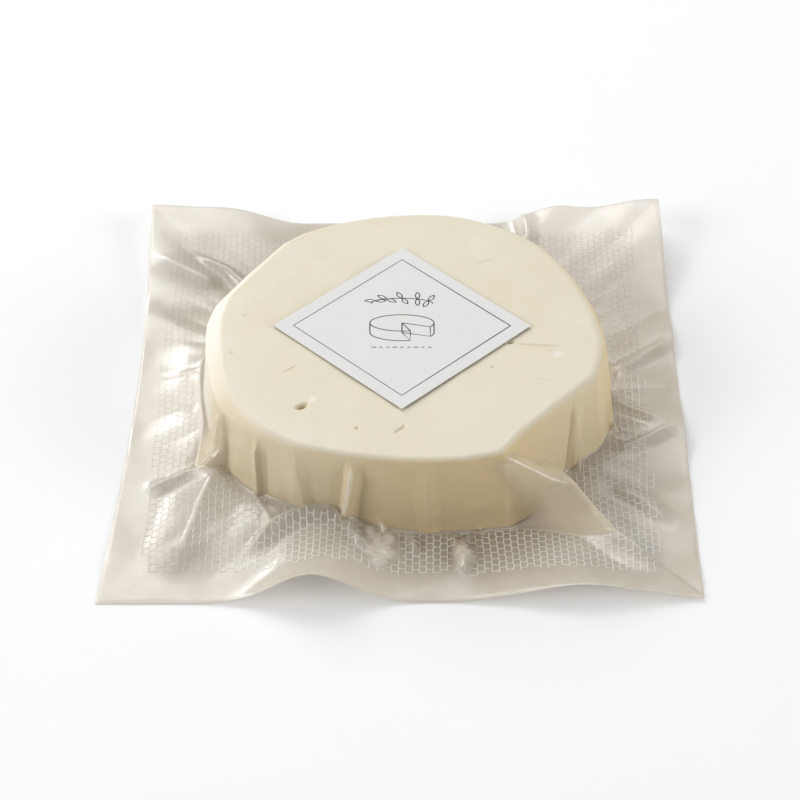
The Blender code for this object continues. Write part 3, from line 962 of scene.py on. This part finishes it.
# The label's print
# One thin dark ink: a border line inside the label's edge, and in its middle a round of cheese
# with a wedge cut out, a leafy sprig over it and a row of short strokes under it.
INK_HALF_WIDTH = 0.00017
INK_FLATTEN = 0.08
INK_SIDES = 6
INK_GREY = (0.030, 0.030, 0.029, 1.0)
INK_WORN = (0.060, 0.060, 0.057, 1.0)
BORDER_HALF_DIAGONAL = 0.0298
ROUND_HALF_WIDTH = 0.0088
ROUND_HALF_DEPTH = 0.0036
ROUND_DEPTH = 0.0042
ROUND_MIDDLE_Y = 0.0012
WEDGE_FROM = -75
WEDGE_TO = -28
SPRIG_HALF = 0.0085
SPRIG_Y = 0.0098
SPRIG_RISE = 0.0024
LEAF_LENGTH = 0.0030
LEAF_WIDTH = 0.00062
LEAVES = 5
STROKE_COUNT = 9
STROKE_PITCH = 0.0019
STROKE_Y = -0.0094
STROKE_WIDTH = 3.2
STROKE_HALF = 0.00045
LONG_STROKE_HALF = 0.00065
LEAF_LINE_WIDTH = 0.8


def arc(middle_x, middle_y, half_width, half_height, start, end, steps=24):
    turn = np.radians(np.linspace(start, end, steps + 1))
    return np.stack([middle_x + half_width * np.cos(turn), middle_y + half_height * np.sin(turn)], -1)


def print_lines():
    """Every line of the print, as its points from the label's middle and its width."""
    reach = BORDER_HALF_DIAGONAL
    lines = [([(reach, 0), (0, reach), (-reach, 0), (0, -reach), (reach, 0)], 1.0)]
    low_y = ROUND_MIDDLE_Y - ROUND_DEPTH
    upper = arc(0, ROUND_MIDDLE_Y, ROUND_HALF_WIDTH, ROUND_HALF_DEPTH, WEDGE_TO, 360 + WEDGE_FROM, 48)
    lines.append((upper, 1.0))
    lines.append((arc(0, low_y, ROUND_HALF_WIDTH, ROUND_HALF_DEPTH, -180, WEDGE_FROM), 1.0))
    lines.append((arc(0, low_y, ROUND_HALF_WIDTH, ROUND_HALF_DEPTH, WEDGE_TO, 0), 1.0))
    for turn in (WEDGE_FROM, WEDGE_TO):
        tip = arc(0, ROUND_MIDDLE_Y, ROUND_HALF_WIDTH, ROUND_HALF_DEPTH, turn, turn, 0)[0]
        lines.append(([(0, ROUND_MIDDLE_Y), tip, (tip[0], tip[1] - ROUND_DEPTH), (0, low_y)], 1.0))
    lines.append(([(0, ROUND_MIDDLE_Y), (0, low_y)], 1.0))
    for side in (-1, 1):
        lines.append(([(side * ROUND_HALF_WIDTH, ROUND_MIDDLE_Y), (side * ROUND_HALF_WIDTH, low_y)], 1.0))
    lines.append((arc(0, SPRIG_Y, SPRIG_HALF, SPRIG_RISE, 180, 0), 1.0))
    for number in range(LEAVES):
        turn = 150 - 120 * number / (LEAVES - 1)
        foot = arc(0, SPRIG_Y, SPRIG_HALF, SPRIG_RISE, turn, turn, 0)[0]
        for lean in (turn + 28, turn - 148):
            way = np.array([math.cos(math.radians(lean)), math.sin(math.radians(lean))])
            across = np.array([-way[1], way[0]])
            swell = np.sin(np.linspace(0, math.pi, 9))[:, None] * LEAF_WIDTH
            spine = foot + way * np.linspace(0, LEAF_LENGTH, 9)[:, None]
            leaf = np.concatenate([spine + across * swell, (spine - across * swell)[::-1]])
            lines.append((leaf, LEAF_LINE_WIDTH))
    for number in range(STROKE_COUNT):
        middle = (number - (STROKE_COUNT - 1) / 2) * STROKE_PITCH
        half = STROKE_HALF if number % 3 else LONG_STROKE_HALF
        lines.append(([(middle - half, STROKE_Y), (middle + half, STROKE_Y)], STROKE_WIDTH))
    return lines


def build_print_lines():
    points, edges, widths = [], [], []
    for line, width in print_lines():
        first = len(points)
        points.extend((x + LABEL_X, y + LABEL_Y, 0.0) for x, y in line)
        edges.extend((number, number + 1) for number in range(first, len(points) - 1))
        widths.extend([width] * (len(points) - first))
    mesh = bpy.data.meshes.new("print_lines")
    mesh.from_pydata(points, edges, [])
    paint(mesh, "width", widths)
    return mesh


def ink_material():
    """Matt printing ink, a little uneven where the paper's fibres took less of it."""
    material, tree = new_material("label_ink")
    place = node(tree, "ShaderNodeTexCoord").outputs["Object"]
    fibre = node(tree, "ShaderNodeTexNoise", Vector=place, Scale=1500.0, Detail=3.0)
    colour = blend_colours(tree, fibre.outputs[0], INK_GREY, INK_WORN)
    shader = node(tree, "ShaderNodeBsdfPrincipled", Base_Color=colour, Roughness=0.55)
    finish_material(tree, shader)
    return material


ink_values = {"Half Width": INK_HALF_WIDTH, "Flatten": INK_FLATTEN, "Lift": 0.0, "Sides": INK_SIDES}
ink_values["Material"] = ink_material()
print_piece = grow_lines("label_print", build_print_lines(), line_tree("ink_lines", label, False), ink_values)
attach(print_piece, "root")


# The table and the light
# A matt white table, lit by a wide window with one brighter pane behind the pack's left shoulder,
# by a high ceiling light, and by two pale walls that throw light back on the left and the right.
TABLE_WHITE = (0.955, 0.962, 0.970, 1.0)
TABLE_WARM = (0.965, 0.970, 0.974, 1.0)
TABLE_HALF = 3.0
ROOM_GREY = (0.97, 0.98, 1.0, 1.0)
ROOM_STRENGTH = 0.10


def table_material():
    material, tree = new_material("matt_white_table")
    place = node(tree, "ShaderNodeTexCoord").outputs["Object"]
    speckle = node(tree, "ShaderNodeTexNoise", Vector=place, Scale=30.0, Detail=2.0)
    colour = blend_colours(tree, speckle.outputs[0], TABLE_WHITE, TABLE_WARM)
    shader = node(tree, "ShaderNodeBsdfPrincipled", Base_Color=colour, Roughness=0.9)
    finish_material(tree, shader)
    return material


table_mesh = bpy.data.meshes.new("table")
table_corners = [(x * TABLE_HALF, y * TABLE_HALF, 0) for x, y in ((-1, -1), (1, -1), (1, 1), (-1, 1))]
table_mesh.from_pydata(table_corners, [], [(0, 1, 2, 3)])
table = place_piece("table", table_mesh, table_material())


def soft_light(name, azimuth, elevation, distance, size, power):
    """A soft box that looks at the pack from a compass turn off +X and a height in degrees."""
    azimuth, elevation = math.radians(azimuth), math.radians(elevation)
    level = distance * math.cos(elevation)
    place = Vector((level * math.cos(azimuth), level * math.sin(azimuth), distance * math.sin(elevation)))
    data = bpy.data.lights.new(name, "AREA")
    data.shape = "RECTANGLE"
    data.size, data.size_y = size
    data.energy = power
    light = bpy.data.objects.new(name, data)
    light.location = place
    light.rotation_euler = (-place).to_track_quat("-Z", "Y").to_euler()
    bpy.context.scene.collection.objects.link(light)


soft_light("window_light", 124, 37, 2.4, (1.6, 1.5), 25.0)
soft_light("window_pane", 116, 24, 2.2, (0.50, 0.44), 5.0)
soft_light("left_light", 200, 25, 2.0, (1.2, 0.8), 21.0)
soft_light("right_light", -14, 20, 2.0, (1.2, 0.8), 19.5)
soft_light("ceiling_light", 92, 64, 2.4, (2.0, 1.8), 21.0)

world = bpy.data.worlds.new("room")
world.use_nodes = True
world.node_tree.nodes["Background"].inputs["Color"].default_value = ROOM_GREY
world.node_tree.nodes["Background"].inputs["Strength"].default_value = ROOM_STRENGTH
bpy.context.scene.world = world
bpy.context.scene.view_settings.view_transform = "Standard"
